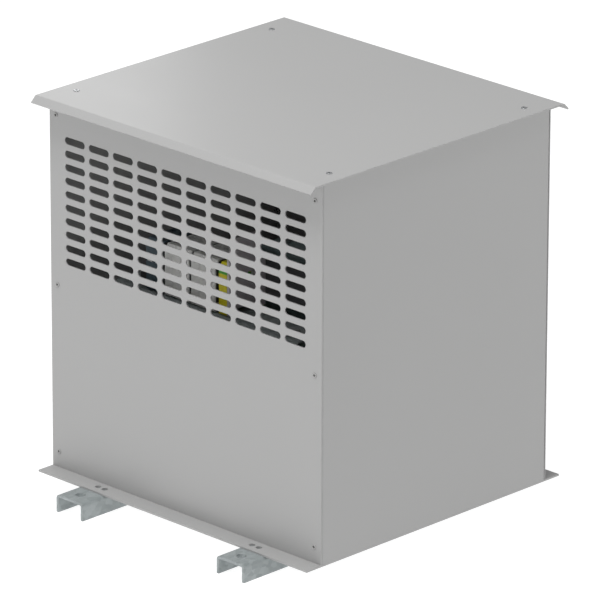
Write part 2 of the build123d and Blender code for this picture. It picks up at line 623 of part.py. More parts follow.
M6_NUT = hex_nut(M6_R + CLEAR, M6_HEAD_R, 4.0)
with BuildPart() as bracket_bolts:
    with Locations(*[(x, y, seat) for x, y, seat, underside in BRACKET_JOINTS]):
        add(M6_BOLT)
bracket_bolts.part.label = "bracket_bolts"
export_step(bracket_bolts.part, "parts/bracket_bolts.step")

with BuildPart() as bracket_nuts:
    with Locations(*[(x, y, underside) for x, y, seat, underside in BRACKET_JOINTS]):
        add(M6_NUT)
bracket_nuts.part.label = "bracket_nuts"
export_step(bracket_nuts.part, "parts/bracket_nuts.step")

# ---------------------------------------------------------------- terminals
TERMINAL_FRONT = BRACKET_FRONT + 2.0
TERMINAL_REAR = TERMINAL_FRONT + TERMINAL_DEPTH
TERMINAL_LOW = BRACKET_TOP + 2.0
TERMINAL_TOP = TERMINAL_LOW + TERMINAL_HEIGHT
TOP_HAT_Y = (TERMINAL_FRONT + TERMINAL_REAR) / 2
TOP_HAT_HALF = 17.5
TOP_HAT_FOOT = 12.5
TOP_HAT_RISE = 6.5
TOP_HAT_WALL = 1.0
TOP_HAT_LEFT = -102.0
TOP_HAT_RIGHT = 36.0
RAIL_CUT_TOP = BRACKET_TOP + 8.0
ENTRY_Z = 279.0
ENTRY_R = 3.4
ENTRY_DEPTH = 14.0
WELL_OFFSET = 11.0
WELL_R = 3.4
WELL_DEPTH = 9.0

TOP_HAT_OUTLINE = [
    (TOP_HAT_Y - TOP_HAT_HALF, BRACKET_TOP + TOP_HAT_RISE),
    (TOP_HAT_Y - TOP_HAT_FOOT, BRACKET_TOP + TOP_HAT_RISE),
    (TOP_HAT_Y - TOP_HAT_FOOT, BRACKET_TOP),
    (TOP_HAT_Y + TOP_HAT_FOOT, BRACKET_TOP),
    (TOP_HAT_Y + TOP_HAT_FOOT, BRACKET_TOP + TOP_HAT_RISE),
    (TOP_HAT_Y + TOP_HAT_HALF, BRACKET_TOP + TOP_HAT_RISE),
]
terminal_rail = bent_sheet(
    Plane.YZ.offset((TOP_HAT_LEFT + TOP_HAT_RIGHT) / 2),
    TOP_HAT_OUTLINE, 1.6, Side.LEFT, TOP_HAT_WALL, TOP_HAT_RIGHT - TOP_HAT_LEFT,
)
terminal_rail.label = "terminal_rail"
export_step(terminal_rail, "parts/terminal_rail.step")

# centre of each terminal, left to right
GROUPS = {
    "neutral_terminals": (-84.0, -72.0),
    "primary_terminals": (-56.0, -44.0, -32.0),
    "secondary_terminals": (-17.0, -5.0, 7.0),
    "earth_terminal": (24.0,),
}
SHOULDER = 9.0
with BuildPart() as terminal_block:
    with BuildSketch(Plane.YZ):
        with BuildLine():
            Polyline(
                (TERMINAL_FRONT, TERMINAL_LOW),
                (TERMINAL_FRONT, TERMINAL_TOP - SHOULDER),
                (TERMINAL_FRONT + SHOULDER / 2, TERMINAL_TOP),
                (TERMINAL_REAR - SHOULDER / 2, TERMINAL_TOP),
                (TERMINAL_REAR, TERMINAL_TOP - SHOULDER),
                (TERMINAL_REAR, TERMINAL_LOW),
                close=True,
            )
        make_face()
        with Locations((TOP_HAT_Y, RAIL_CUT_TOP)):
            Rectangle(
                2 * TOP_HAT_HALF + 1.0, 2 * (RAIL_CUT_TOP - TERMINAL_LOW), mode=Mode.SUBTRACT
            )
    extrude(amount=TERMINAL_PITCH / 2 - 0.2, both=True)
    for entry_y, turn in ((TERMINAL_FRONT, 90), (TERMINAL_REAR, -90)):
        with Locations(Location((0, entry_y, ENTRY_Z), (turn, 0, 0))):
            Hole(ENTRY_R, depth=ENTRY_DEPTH)
    with Locations((0, TOP_HAT_Y - WELL_OFFSET, TERMINAL_TOP), (0, TOP_HAT_Y + WELL_OFFSET, TERMINAL_TOP)):
        Hole(WELL_R, depth=WELL_DEPTH)

for group_name, centres in GROUPS.items():
    with BuildPart() as terminal_group:
        with Locations(*[(x, 0, 0) for x in centres]):
            add(terminal_block.part)
    terminal_group.part.label = group_name
    export_step(terminal_group.part, f"parts/{group_name}.step")

with BuildPart() as terminal_screw:
    Cylinder(WELL_R - 2 * CLEAR, 5.0, align=DOWN)
    Box(3 * WELL_R, 1.0, 2.0, mode=Mode.SUBTRACT)
SCREW_TOP = TERMINAL_TOP - WELL_DEPTH + 5.5
with BuildPart() as terminal_screws:
    for centres in GROUPS.values():
        for well_y in (TOP_HAT_Y - WELL_OFFSET, TOP_HAT_Y + WELL_OFFSET):
            with Locations(*[(x, well_y, SCREW_TOP) for x in centres]):
                add(terminal_screw.part)
terminal_screws.part.label = "terminal_screws"
export_step(terminal_screws.part, "parts/terminal_screws.step")

# low clip-on stop at the left end, tall notched end bracket with a window at the right end
STOP_WIDTH = 8.0
STOP_TOP = TERMINAL_LOW + 30.0
STOP_X = TOP_HAT_LEFT + STOP_WIDTH / 2 + 1.0
END_BRACKET_LEFT = GROUPS["earth_terminal"][0] + TERMINAL_PITCH / 2 + 0.2
END_BRACKET_WIDTH = 3.5
END_BRACKET_TOP = TERMINAL_TOP + 27.0
END_BRACKET_REAR = TERMINAL_REAR + 5.0
END_BRACKET_NOTCH = 6.0
END_BRACKET_SLANT_Y = 9.0
END_BRACKET_SLANT_Z = 22.0
WINDOW_WIDE = 8.0
WINDOW_TALL = 11.0
END_WINDOW_Y = TOP_HAT_Y + 7.0
END_WINDOW_Z = TERMINAL_TOP - 19.0

with BuildPart() as end_stops:
    with BuildSketch(Plane.XY.offset(TERMINAL_LOW)):
        with Locations((STOP_X, TOP_HAT_Y)):
            Rectangle(STOP_WIDTH, TERMINAL_DEPTH - 6.0)
    extrude(amount=STOP_TOP - TERMINAL_LOW)
    with BuildSketch(Plane.YZ.offset(END_BRACKET_LEFT)):
        with BuildLine():
            Polyline(
                (TERMINAL_FRONT, TERMINAL_LOW),
                (TERMINAL_FRONT, END_BRACKET_TOP - END_BRACKET_SLANT_Z),
                (TERMINAL_FRONT + END_BRACKET_SLANT_Y, END_BRACKET_TOP),
                (END_BRACKET_REAR - END_BRACKET_NOTCH, END_BRACKET_TOP),
                (END_BRACKET_REAR - END_BRACKET_NOTCH, TERMINAL_TOP),
                (END_BRACKET_REAR, TERMINAL_TOP),
                (END_BRACKET_REAR, TERMINAL_LOW),
                close=True,
            )
        make_face()
        with Locations((END_WINDOW_Y, END_WINDOW_Z)):
            Rectangle(WINDOW_WIDE, WINDOW_TALL, mode=Mode.SUBTRACT)
    extrude(amount=END_BRACKET_WIDTH)
    with BuildSketch(Plane.YZ):
        with Locations((TOP_HAT_Y, TERMINAL_LOW)):
            Rectangle(2 * TOP_HAT_HALF + 1.0, 2 * (RAIL_CUT_TOP - TERMINAL_LOW))
    extrude(amount=WIDTH / 2, both=True, mode=Mode.SUBTRACT)
end_stops.part.label = "end_stops"
export_step(end_stops.part, "parts/end_stops.step")

# ---------------------------------------------------------------- conductors
COIL_FACE_Y = CORE_Y - (OUTER_SPAN + 0.4 + 2 * WRAP + SPAN_TO_DEPTH) / 2 - CLEAR
LEAD_START_Z = 118.0
LEAD_LOW_Z = 142.0
LEAD_HIGH_Z = 240.0
LEAD_END_Y = TERMINAL_REAR - ENTRY_DEPTH + 4.0


def winding_lead(coil_face_x, layer_y, terminal_x):
    """Lead from a coil's front face, up behind the terminals and into one of them."""
    return tube_along(
        [
            (coil_face_x, COIL_FACE_Y, LEAD_START_Z),
            (coil_face_x, layer_y, LEAD_START_Z),
            (coil_face_x, layer_y, LEAD_LOW_Z),
            (terminal_x, layer_y, LEAD_HIGH_Z),
            (terminal_x, layer_y, ENTRY_Z),
            (terminal_x, LEAD_END_Y, ENTRY_Z),
        ],
        LEAD_R,
    )


FIRST_LAYER_Y = -62.0
SECOND_LAYER_Y = -72.0
PRIMARY_RUNS = zip((-88.0, -8.0, 72.0), GROUPS["primary_terminals"])
SECONDARY_RUNS = zip((-68.0, 12.0, 92.0), GROUPS["secondary_terminals"])

with BuildPart() as primary_leads:
    for face_x, terminal_x in PRIMARY_RUNS:
        add(winding_lead(face_x, FIRST_LAYER_Y, terminal_x))
primary_leads.part.label = "primary_leads"
export_step(primary_leads.part, "parts/primary_leads.step")

with BuildPart() as secondary_leads:
    for face_x, terminal_x in SECONDARY_RUNS:
        add(winding_lead(face_x, SECOND_LAYER_Y, terminal_x))
    add(winding_lead(-102.0, FIRST_LAYER_Y, GROUPS["neutral_terminals"][1]))
secondary_leads.part.label = "secondary_leads"
export_step(secondary_leads.part, "parts/secondary_leads.step")

LUG_BARREL_R = EARTH_R + 1.3
LUG_BARREL_Z = FRONT_SHELF_Z + LUG_BARREL_R
LUG_BARREL_REAR = FRONT_SHELF_HOLE_Y - 8.0
LUG_BARREL_LENGTH = 13.0
EARTH_DROP_Y = TERMINAL_REAR + 8.0
EARTH_ROUTE = [
    (EARTH_X, LEAD_END_Y, ENTRY_Z),
    (EARTH_X, EARTH_DROP_Y, ENTRY_Z),
    (EARTH_X, EARTH_DROP_Y, LUG_BARREL_Z),
    (EARTH_X, LUG_BARREL_REAR - 1.0, LUG_BARREL_Z),
]
earth_conductor = tube_along(EARTH_ROUTE, EARTH_R)
earth_conductor.label = "earth_conductor"
export_step(earth_conductor, "parts/earth_conductor.step")

with BuildPart() as earth_lug:
    with BuildSketch(Plane.XY.offset(FRONT_SHELF_Z)):
        with Locations((EARTH_X, (FRONT_SHELF_HOLE_Y + LUG_BARREL_REAR) / 2)):
            SlotCenterToCenter(FRONT_SHELF_HOLE_Y - LUG_BARREL_REAR, 11.0, rotation=90)
        with Locations((EARTH_X, FRONT_SHELF_HOLE_Y)):
            Circle(M6_HOLE_R, mode=Mode.SUBTRACT)
    extrude(amount=EARTH_LUG_THICK)
    with BuildSketch(Plane.XZ.offset(-LUG_BARREL_REAR)):
        with Locations((EARTH_X, LUG_BARREL_Z)):
            Circle(LUG_BARREL_R)
    extrude(amount=LUG_BARREL_LENGTH)
    with BuildSketch(Plane.XZ.offset(-LUG_BARREL_REAR)):
        with Locations((EARTH_X, LUG_BARREL_Z)):
            Circle(EARTH_R + CLEAR)
    extrude(amount=LUG_BARREL_LENGTH, mode=Mode.SUBTRACT)
earth_lug.part.label = "earth_lug"
export_step(earth_lug.part, "parts/earth_lug.step")

# ---------------------------------------------------------------- cable glands and rating plate
GLAND_PLACES = [(-GLAND_X, GLAND_Z), (GLAND_X, GLAND_Z)]
GLAND_HEX_R = 20.0
GLAND_HEX = 8.0
GLAND_INSIDE = 12.0      # thread length inside the panel
GLAND_NECK_R = 14.0
GLAND_NECK = 11.0
GLAND_BORE_R = 11.0
SEAL_BORE_R = 8.0
CAP_HEX_R = 18.5
CAP_LENGTH = 16.0
NECK_END = GLAND_HEX + GLAND_NECK
SEAL_LENGTH = 10.0


def rear_plane(outside):
    """Drawing plane facing backwards, a distance outside the rear panel's face."""
    return Plane(origin=(0, FACE_Y + outside, 0), x_dir=(-1, 0, 0), z_dir=(0, 1, 0))


with BuildPart() as gland_bodies:
    with BuildSketch(rear_plane(0)):
        with Locations(*GLAND_PLACES):
            RegularPolygon(GLAND_HEX_R, 6)
    extrude(amount=GLAND_HEX)
    with BuildSketch(rear_plane(-GLAND_INSIDE)):
        with Locations(*GLAND_PLACES):
            Circle(GLAND_THREAD_R)
    extrude(amount=GLAND_INSIDE)
    with BuildSketch(rear_plane(GLAND_HEX)):
        with Locations(*GLAND_PLACES):
            Circle(GLAND_NECK_R)
    extrude(amount=GLAND_NECK)
    with BuildSketch(rear_plane(-GLAND_INSIDE)):
        with Locations(*GLAND_PLACES):
            Circle(GLAND_BORE_R)
    extrude(amount=GLAND_INSIDE + NECK_END, mode=Mode.SUBTRACT)
gland_bodies.part.label = "gland_bodies"
export_step(gland_bodies.part, "parts/gland_bodies.step")

with BuildPart() as gland_locknuts:
    with BuildSketch(rear_plane(-SHEET)):
        with Locations(*GLAND_PLACES):
            RegularPolygon(GLAND_HEX_R + 1.0, 6)
            Circle(GLAND_THREAD_R + CLEAR, mode=Mode.SUBTRACT)
    extrude(amount=-5.0)
gland_locknuts.part.label = "gland_locknuts"
export_step(gland_locknuts.part, "parts/gland_locknuts.step")

with BuildPart() as gland_seals:
    with BuildSketch(rear_plane(NECK_END - SEAL_LENGTH)):
        with Locations(*GLAND_PLACES):
            Circle(GLAND_BORE_R - CLEAR)
            Circle(SEAL_BORE_R, mode=Mode.SUBTRACT)
    extrude(amount=SEAL_LENGTH)
gland_seals.part.label = "gland_seals"
export_step(gland_seals.part, "parts/gland_seals.step")

with BuildPart() as gland_caps:
    with BuildSketch(rear_plane(GLAND_HEX + 0.5)):
        with Locations(*GLAND_PLACES):
            RegularPolygon(CAP_HEX_R, 6)
    extrude(amount=CAP_LENGTH)
    with BuildSketch(rear_plane(GLAND_HEX + 0.5)):
        with Locations(*GLAND_PLACES):
            Circle(GLAND_NECK_R + CLEAR)
    extrude(amount=GLAND_NECK, mode=Mode.SUBTRACT)
    with BuildSketch(rear_plane(GLAND_HEX)):
        with Locations(*GLAND_PLACES):
            Circle(SEAL_BORE_R + 1.0)
    extrude(amount=2 * CAP_LENGTH, mode=Mode.SUBTRACT)
    rim = gland_caps.edges().filter_by(GeomType.LINE).group_by(Axis.Y)[-1]
    chamfer(rim, 2.0)
gland_caps.part.label = "gland_caps"
export_step(gland_caps.part, "parts/gland_caps.step")

PLATE_CENTRE = (-120.0, 150.0)
with BuildPart() as rating_plate:
    with BuildSketch(rear_plane(0)):
        with Locations(PLATE_CENTRE):
            RectangleRounded(74.0, 52.0, 3.0)
    extrude(amount=0.8)
rating_plate.part.label = "rating_plate"
export_step(rating_plate.part, "parts/rating_plate.step")
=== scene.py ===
import json
import math

import bmesh
import bpy
from mathutils import Matrix, Vector


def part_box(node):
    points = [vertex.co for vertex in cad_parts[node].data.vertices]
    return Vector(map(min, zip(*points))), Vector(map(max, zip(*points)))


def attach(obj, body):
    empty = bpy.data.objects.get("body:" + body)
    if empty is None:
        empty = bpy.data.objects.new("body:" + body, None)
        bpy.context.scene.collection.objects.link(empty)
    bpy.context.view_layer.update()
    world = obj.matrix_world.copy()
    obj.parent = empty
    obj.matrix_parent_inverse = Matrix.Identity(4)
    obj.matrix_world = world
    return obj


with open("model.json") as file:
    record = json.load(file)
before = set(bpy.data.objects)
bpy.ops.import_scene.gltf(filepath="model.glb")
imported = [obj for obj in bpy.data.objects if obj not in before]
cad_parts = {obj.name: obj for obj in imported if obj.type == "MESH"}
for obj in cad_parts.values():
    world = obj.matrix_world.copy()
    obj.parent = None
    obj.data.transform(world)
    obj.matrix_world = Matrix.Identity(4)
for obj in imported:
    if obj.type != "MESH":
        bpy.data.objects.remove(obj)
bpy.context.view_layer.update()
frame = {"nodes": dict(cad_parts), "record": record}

MM = 0.001
FULL_TURN = 2 * math.pi
WHITE = (1.0, 1.0, 1.0, 1.0)

# ---------------------------------------------------------------- camera, lights and floor
AZIMUTH = math.radians(44.543)
ELEVATION = math.radians(20.316)
ROLL = math.radians(0.153)
LENS_MM = 439.42
SENSOR_MM = 36.0
CAMERA_AT = Vector((5.0769, -5.1571, 2.8960))
NEAR_CLIP = 0.1
FAR_CLIP = 100.0

WORLD_STRENGTH = 0.36
FLOOR_SIZE = 30.0
FLOOR_DROP = 0.2 * MM
FLOOR_GREY = 0.25
FLOOR_ROUGHNESS = 0.9
FLOOR_GLOW = 0.92


def look_axes():
    """Right, up and back directions of the camera from its three angles."""
    back = Vector((
        math.sin(AZIMUTH) * math.cos(ELEVATION),
        -math.cos(AZIMUTH) * math.cos(ELEVATION),
        math.sin(ELEVATION),
    ))
    right = Vector((math.cos(AZIMUTH), math.sin(AZIMUTH), 0.0))
    up = back.cross(right)
    rolled_right = math.cos(ROLL) * right + math.sin(ROLL) * up
    rolled_up = math.cos(ROLL) * up - math.sin(ROLL) * right
    return rolled_right, rolled_up, back


def make_camera():
    """Long-lens camera in front of the near right corner, looking a little down."""
    data = bpy.data.cameras.new("camera")
    data.lens = LENS_MM
    data.sensor_width = SENSOR_MM
    data.clip_start = NEAR_CLIP
    data.clip_end = FAR_CLIP
    camera = bpy.data.objects.new("camera", data)
    bpy.context.scene.collection.objects.link(camera)
    axes = Matrix(look_axes()).transposed().to_4x4()
    camera.matrix_world = Matrix.Translation(CAMERA_AT) @ axes
    bpy.context.scene.camera = camera


def area_light(name, place, target, size, power):
    """Soft square light at a place, aimed at a target point."""
    data = bpy.data.lights.new(name, "AREA")
    data.shape = "SQUARE"
    data.size = size
    data.energy = power
    light = bpy.data.objects.new(name, data)
    bpy.context.scene.collection.objects.link(light)
    light.location = place
    direction = Vector(target) - Vector(place)
    light.rotation_euler = direction.to_track_quat("-Z", "Y").to_euler()


def make_lights():
    """Even white surroundings and four soft lamps: one for each side in view, and one more for the roof."""
    world = bpy.data.worlds.new("studio")
    world.use_nodes = True
    background = world.node_tree.nodes["Background"]
    background.inputs["Color"].default_value = WHITE
    background.inputs["Strength"].default_value = WORLD_STRENGTH
    bpy.context.scene.world = world
    area_light("overhead", place=(0.15, -0.80, 2.9), target=(0.0, 0.0, 0.4), size=1.4, power=60.0)
    area_light("roof_wash", place=(-0.78, 0.40, 0.76), target=(-0.2, -0.15, 0.44), size=0.25, power=0.5)
    area_light("front_fill", place=(-1.3, -2.6, 0.7), target=(0.0, 0.0, 0.25), size=0.8, power=6.0)
    area_light("right_fill", place=(1.6, 1.9, 0.7), target=(0.2, 0.15, 0.25), size=0.7, power=5.0)


def make_floor():
    """Glowing pale floor, just below the rails."""
    material = bpy.data.materials.new("floor_white")
    material.use_nodes = True
    shader = material.node_tree.nodes["Principled BSDF"]
    shader.inputs["Base Color"].default_value = full_colour(FLOOR_GREY)
    shader.inputs["Roughness"].default_value = FLOOR_ROUGHNESS
    shader.inputs["Emission Color"].default_value = WHITE
    shader.inputs["Emission Strength"].default_value = FLOOR_GLOW
    half = FLOOR_SIZE / 2
    mesh = bpy.data.meshes.new("floor")
    corners = [(-half, -half, 0), (half, -half, 0), (half, half, 0), (-half, half, 0)]
    mesh.from_pydata(corners, [], [(0, 1, 2, 3)])
    floor = bpy.data.objects.new("floor", mesh)
    floor.location.z = -FLOOR_DROP
    floor.data.materials.append(material)
    bpy.context.scene.collection.objects.link(floor)


# ---------------------------------------------------------------- material building blocks
EDGE_SAMPLES = 4
LEAN_START = 0.01
LEAN_FULL = 0.16


def full_colour(value):
    """Opaque linear colour from a grey level or a triple."""
    if isinstance(value, float):
        return (value, value, value, 1.0)
    return (*value, 1.0)


class Finish:
    """A material under construction: the Principled shader with helpers for its node tree."""

    def __init__(self, name, roughness, metallic=0.0, coat=0.0):
        self.material = bpy.data.materials.new(name)
        self.material.use_nodes = True
        self.tree = self.material.node_tree
        self.shader = self.tree.nodes["Principled BSDF"]
        self.shader.inputs["Roughness"].default_value = roughness
        self.shader.inputs["Metallic"].default_value = metallic
        self.shader.inputs["Coat Weight"].default_value = coat
        self.place = self.node("ShaderNodeTexCoord").outputs["Object"]

    def node(self, kind, **inputs):
        """New node with its inputs set by name."""
        made = self.tree.nodes.new(kind)
        for key, value in inputs.items():
            self.feed(made.inputs[key], value)
        return made

    def feed(self, socket, value):
        """Links an output to a socket, or sets the socket to a fixed value."""
        if isinstance(value, bpy.types.NodeSocket):
            self.tree.links.new(value, socket)
        else:
            socket.default_value = value

    def calculate(self, operation, first, second=0.0):
        made = self.tree.nodes.new("ShaderNodeMath")
        made.operation = operation
        self.feed(made.inputs[0], first)
        self.feed(made.inputs[1], second)
        return made.outputs[0]

    def scaled(self, value, factor):
        return self.calculate("MULTIPLY", value, factor)

    def noise(self, scale, detail=2.0, roughness=0.5, place=None):
        made = self.node("ShaderNodeTexNoise", Scale=scale, Detail=detail, Roughness=roughness)
        self.feed(made.inputs["Vector"], place or self.place)
        return made.outputs["Fac"]

    def stretched(self, x, y, z):
        """Object coordinates scaled by a factor along each axis."""
        made = self.node("ShaderNodeMapping", Vector=self.place)
        made.inputs["Scale"].default_value = (x, y, z)
        return made.outputs["Vector"]

    def axis(self, name):
        """One of the object coordinates: X, Y or Z."""
        split = self.node("ShaderNodeSeparateXYZ", Vector=self.place)
        return split.outputs[name]

    def ramp(self, value, stops):
        """Grey levels that follow a value through stops of (position, level)."""
        made = self.node("ShaderNodeValToRGB", Fac=value)
        elements = made.color_ramp.elements
        elements[0].position, elements[-1].position = stops[0][0], stops[-1][0]
        elements[0].color, elements[-1].color = full_colour(stops[0][1]), full_colour(stops[-1][1])
        for position, level in stops[1:-1]:
            elements.new(position).color = full_colour(level)
        return made.outputs["Color"]

    def mix(self, share, first, second, blend="MIX"):
        """Blend of two colours, each an output, a grey level or a triple."""
        made = self.tree.nodes.new("ShaderNodeMix")
        made.data_type = "RGBA"
        made.blend_type = blend
        self.feed(made.inputs["Factor"], share)
        for name, value in (("A", first), ("B", second)):
            fixed = isinstance(value, (float, tuple))
            self.feed(made.inputs[name], full_colour(value) if fixed else value)
        return made.outputs["Result"]

    def edges(self, radius):
        """Mask of the sharp edges and the rounded normal that it comes from.

        The mask rises as the rounded normal leans away from the flat one.
        """
        rounded = self.node("ShaderNodeBevel", Radius=radius)
        rounded.samples = EDGE_SAMPLES
        flat = self.node("ShaderNodeNewGeometry").outputs["Normal"]
        dot = self.tree.nodes.new("ShaderNodeVectorMath")
        dot.operation = "DOT_PRODUCT"
        self.feed(dot.inputs[0], rounded.outputs["Normal"])
        self.feed(dot.inputs[1], flat)
        lean = self.calculate("SUBTRACT", 1.0, dot.outputs["Value"])
        return self.ramp(lean, [(LEAN_START, 0.0), (LEAN_FULL, 1.0)]), rounded.outputs["Normal"]

    def rubbed(self, edge, share, base, bare):
        """Base colour that turns part of the way to a bare colour on sharp edges."""
        return self.mix(self.scaled(edge, share), base, bare)

    def color(self, value):
        self.feed(self.shader.inputs["Base Color"], value)

    def rough(self, value):
        self.feed(self.shader.inputs["Roughness"], value)

    def bump(self, height, strength, distance, normal=None):
        made = self.node("ShaderNodeBump", Height=height, Strength=strength, Distance=distance)
        if normal is not None:
            self.feed(made.inputs["Normal"], normal)
        self.feed(self.shader.inputs["Normal"], made.outputs["Normal"])


# ---------------------------------------------------------------- materials
WIRE_PITCH = 2.2 * MM
FILM_BAND = 19.0 * MM
STRIPE_PITCH = 52.0 * MM
STRIPE_SLANT = 0.35


def powder_coat():
    """Light grey powder coat: fine orange peel, faint cloudiness, edges rubbed a little lighter."""
    finish = Finish("powder_coat_grey", roughness=0.40)
    edge, rounded = finish.edges(0.35 * MM)
    cloud = finish.noise(scale=5.0, detail=3.0)
    coat = finish.mix(cloud, (0.400, 0.400, 0.398), (0.410, 0.410, 0.408))
    speck = finish.ramp(finish.noise(scale=1400.0, detail=1.0), [(0.30, 0.94), (0.62, 1.0)])
    speckled = finish.mix(0.6, coat, speck, blend="MULTIPLY")
    finish.color(finish.rubbed(edge, 0.35, speckled, (0.52, 0.52, 0.515)))
    finish.rough(finish.ramp(finish.noise(scale=12.0, detail=2.0), [(0.3, 0.385), (0.7, 0.415)]))
    peel = finish.noise(scale=900.0, detail=2.0, roughness=0.6)
    finish.bump(peel, strength=0.10, distance=0.05 * MM, normal=rounded)
    return finish.material


def galvanised():
    """Hot-dip galvanised steel: spangle cells a few millimetres across with a fine grain."""
    finish = Finish("galvanised_steel", roughness=0.45, metallic=0.2)
    cells = finish.node("ShaderNodeTexVoronoi", Vector=finish.stretched(1.0, 0.7, 1.0), Scale=210.0)
    tone = finish.node("ShaderNodeSeparateColor", Color=cells.outputs["Color"]).outputs["Red"]
    grain = finish.noise(scale=500.0, detail=4.0, roughness=0.7)
    level = finish.calculate("ADD", finish.scaled(tone, 0.6), finish.scaled(grain, 0.4))
    zinc = finish.mix(level, (0.25, 0.280, 0.283), (0.40, 0.435, 0.44))
    edge, rounded = finish.edges(0.8 * MM)
    finish.color(finish.rubbed(edge, 0.4, zinc, (0.48, 0.51, 0.51)))
    finish.rough(finish.ramp(level, [(0.2, 0.52), (0.8, 0.36)]))
    finish.bump(level, strength=0.15, distance=0.08 * MM, normal=rounded)
    return finish.material


def zinc_plate(name, dark, light, roughness):
    """Plated steel or copper with a fine grain and lighter edges."""
    finish = Finish(name, roughness, metallic=0.8)
    tone = finish.noise(scale=300.0, detail=3.0)
    edge, rounded = finish.edges(0.25 * MM)
    finish.color(finish.rubbed(edge, 0.6, finish.mix(tone, dark, light), 0.72))
    grain = finish.noise(scale=1500.0, detail=2.0)
    finish.bump(grain, strength=0.08, distance=0.03 * MM, normal=rounded)
    return finish.material


def clamp_primer():
    """Blue-grey primer on the core clamps, thin and a little patchy."""
    finish = Finish("clamp_primer", roughness=0.55)
    patch = finish.noise(scale=28.0, detail=5.0, roughness=0.6)
    edge, rounded = finish.edges(0.8 * MM)
    base = finish.mix(patch, (0.17, 0.24, 0.245), (0.25, 0.33, 0.33))
    finish.color(finish.rubbed(edge, 0.5, base, (0.42, 0.48, 0.48)))
    grain = finish.noise(scale=600.0, detail=3.0)
    finish.bump(grain, strength=0.12, distance=0.06 * MM, normal=rounded)
    return finish.material


def laminations():
    """Varnished steel sheets stacked front to rear: fine parallel lines and uneven varnish."""
    finish = Finish("core_laminations", roughness=0.48, metallic=0.25)
    sheets = finish.noise(scale=1.0, detail=1.0, place=finish.stretched(3.0, 1900.0, 3.0))
    varnish = finish.noise(scale=45.0, detail=4.0)
    line = finish.ramp(sheets, [(0.35, 0.55), (0.65, 1.0)])
    lines = finish.mix(line, (0.02, 0.02, 0.02), (0.16, 0.16, 0.165))
    base = finish.mix(varnish, (0.055, 0.056, 0.060), (0.105, 0.107, 0.112))
    finish.color(finish.mix(0.35, base, lines))
    finish.bump(sheets, strength=0.4, distance=0.15 * MM)
    return finish.material


def enamelled_copper():
    """Layers of enamelled wire: turns stacked upwards with a rounded profile."""
    finish = Finish("enamelled_copper", roughness=0.32, metallic=0.6, coat=0.4)
    turns = finish.calculate("SINE", finish.scaled(finish.axis("Z"), FULL_TURN / WIRE_PITCH))
    tone = finish.noise(scale=90.0, detail=3.0)
    finish.color(finish.mix(tone, (0.30, 0.11, 0.045), (0.46, 0.19, 0.08)))
    finish.bump(turns, strength=0.6, distance=0.5 * MM)
    return finish.material


def insulation_film():
    """Mauve-grey varnished film wrapped in overlapping bands."""
    finish = Finish("insulation_film", roughness=0.38, coat=0.2)
    bands = finish.calculate("FRACT", finish.scaled(finish.axis("Z"), 1 / FILM_BAND))
    tone = finish.noise(scale=60.0, detail=4.0)
    base = finish.mix(tone, (0.36, 0.33, 0.345), (0.44, 0.41, 0.425))
    seam = finish.ramp(bands, [(0.0, 0.62), (0.05, 1.0), (1.0, 0.93)])
    finish.color(finish.mix(0.8, base, seam, blend="MULTIPLY"))
    finish.bump(bands, strength=0.35, distance=0.3 * MM)
    return finish.material


def fibre_board():
    """Straw-coloured glass-fibre board with a woven grain."""
    finish = Finish("fibre_board", roughness=0.5)
    weave = finish.noise(scale=1.0, detail=2.0, place=finish.stretched(260.0, 260.0, 1100.0))
    finish.color(finish.mix(weave, (0.42, 0.37, 0.24), (0.56, 0.51, 0.36)))
    finish.bump(weave, strength=0.25, distance=0.1 * MM)
    return finish.material


def moulded(name, dark, light, roughness=0.42):
    """Moulded surface: fine grain, faint tone changes, edges slightly lighter."""
    finish = Finish(name, roughness)
    tone = finish.noise(scale=35.0, detail=3.0)
    edge, rounded = finish.edges(0.4 * MM)
    edge_tone = tuple(min(1.0, part * 1.15 + 0.02) for part in light)
    finish.color(finish.rubbed(edge, 0.4, finish.mix(tone, dark, light), edge_tone))
    polish = finish.noise(scale=200.0, detail=2.0)
    finish.rough(finish.ramp(polish, [(0.3, roughness - 0.05), (0.7, roughness + 0.08)]))
    grain = finish.noise(scale=1800.0, detail=2.0, roughness=0.6)
    finish.bump(grain, strength=0.12, distance=0.04 * MM, normal=rounded)
    return finish.material


def earth_stripes():
    """Yellow plastic with green stripes slanting across it."""
    finish = Finish("earth_yellow_green", roughness=0.42)
    along = finish.calculate("ADD", finish.axis("Z"), finish.scaled(finish.axis("Y"), STRIPE_SLANT))
    phase = finish.calculate("FRACT", finish.scaled(along, 1 / STRIPE_PITCH))
    stripe = finish.ramp(phase, [(0.0, 0.0), (0.60, 0.0), (0.61, 1.0), (0.74, 1.0), (0.75, 0.0)])
    yellow = finish.mix(finish.noise(scale=40.0, detail=3.0), (0.82, 0.72, 0.015), (0.90, 0.80, 0.03))
    finish.color(finish.mix(stripe, yellow, (0.10, 0.50, 0.05)))
    finish.bump(finish.noise(scale=1500.0, detail=2.0), strength=0.12, distance=0.04 * MM)
    return finish.material


def rubber():
    """Matt black rubber with a dusty bloom."""
    finish = Finish("black_rubber", roughness=0.75)
    bloom = finish.noise(scale=80.0, detail=5.0, roughness=0.65)
    finish.color(finish.mix(bloom, (0.018, 0.018, 0.019), (0.045, 0.045, 0.046)))
    finish.bump(finish.noise(scale=900.0, detail=3.0), strength=0.25, distance=0.08 * MM)
    return finish.material


def anodised():
    """Brushed anodised aluminium for the blank plate and its rivets."""
    finish = Finish("anodised_aluminium", roughness=0.42, metallic=0.6)
    brushed = finish.noise(scale=1.0, detail=3.0, place=finish.stretched(30.0, 900.0, 1800.0))
    finish.color(finish.mix(brushed, (0.36, 0.365, 0.37), (0.52, 0.525, 0.53)))
    finish.bump(brushed, strength=0.12, distance=0.03 * MM)
    return finish.material


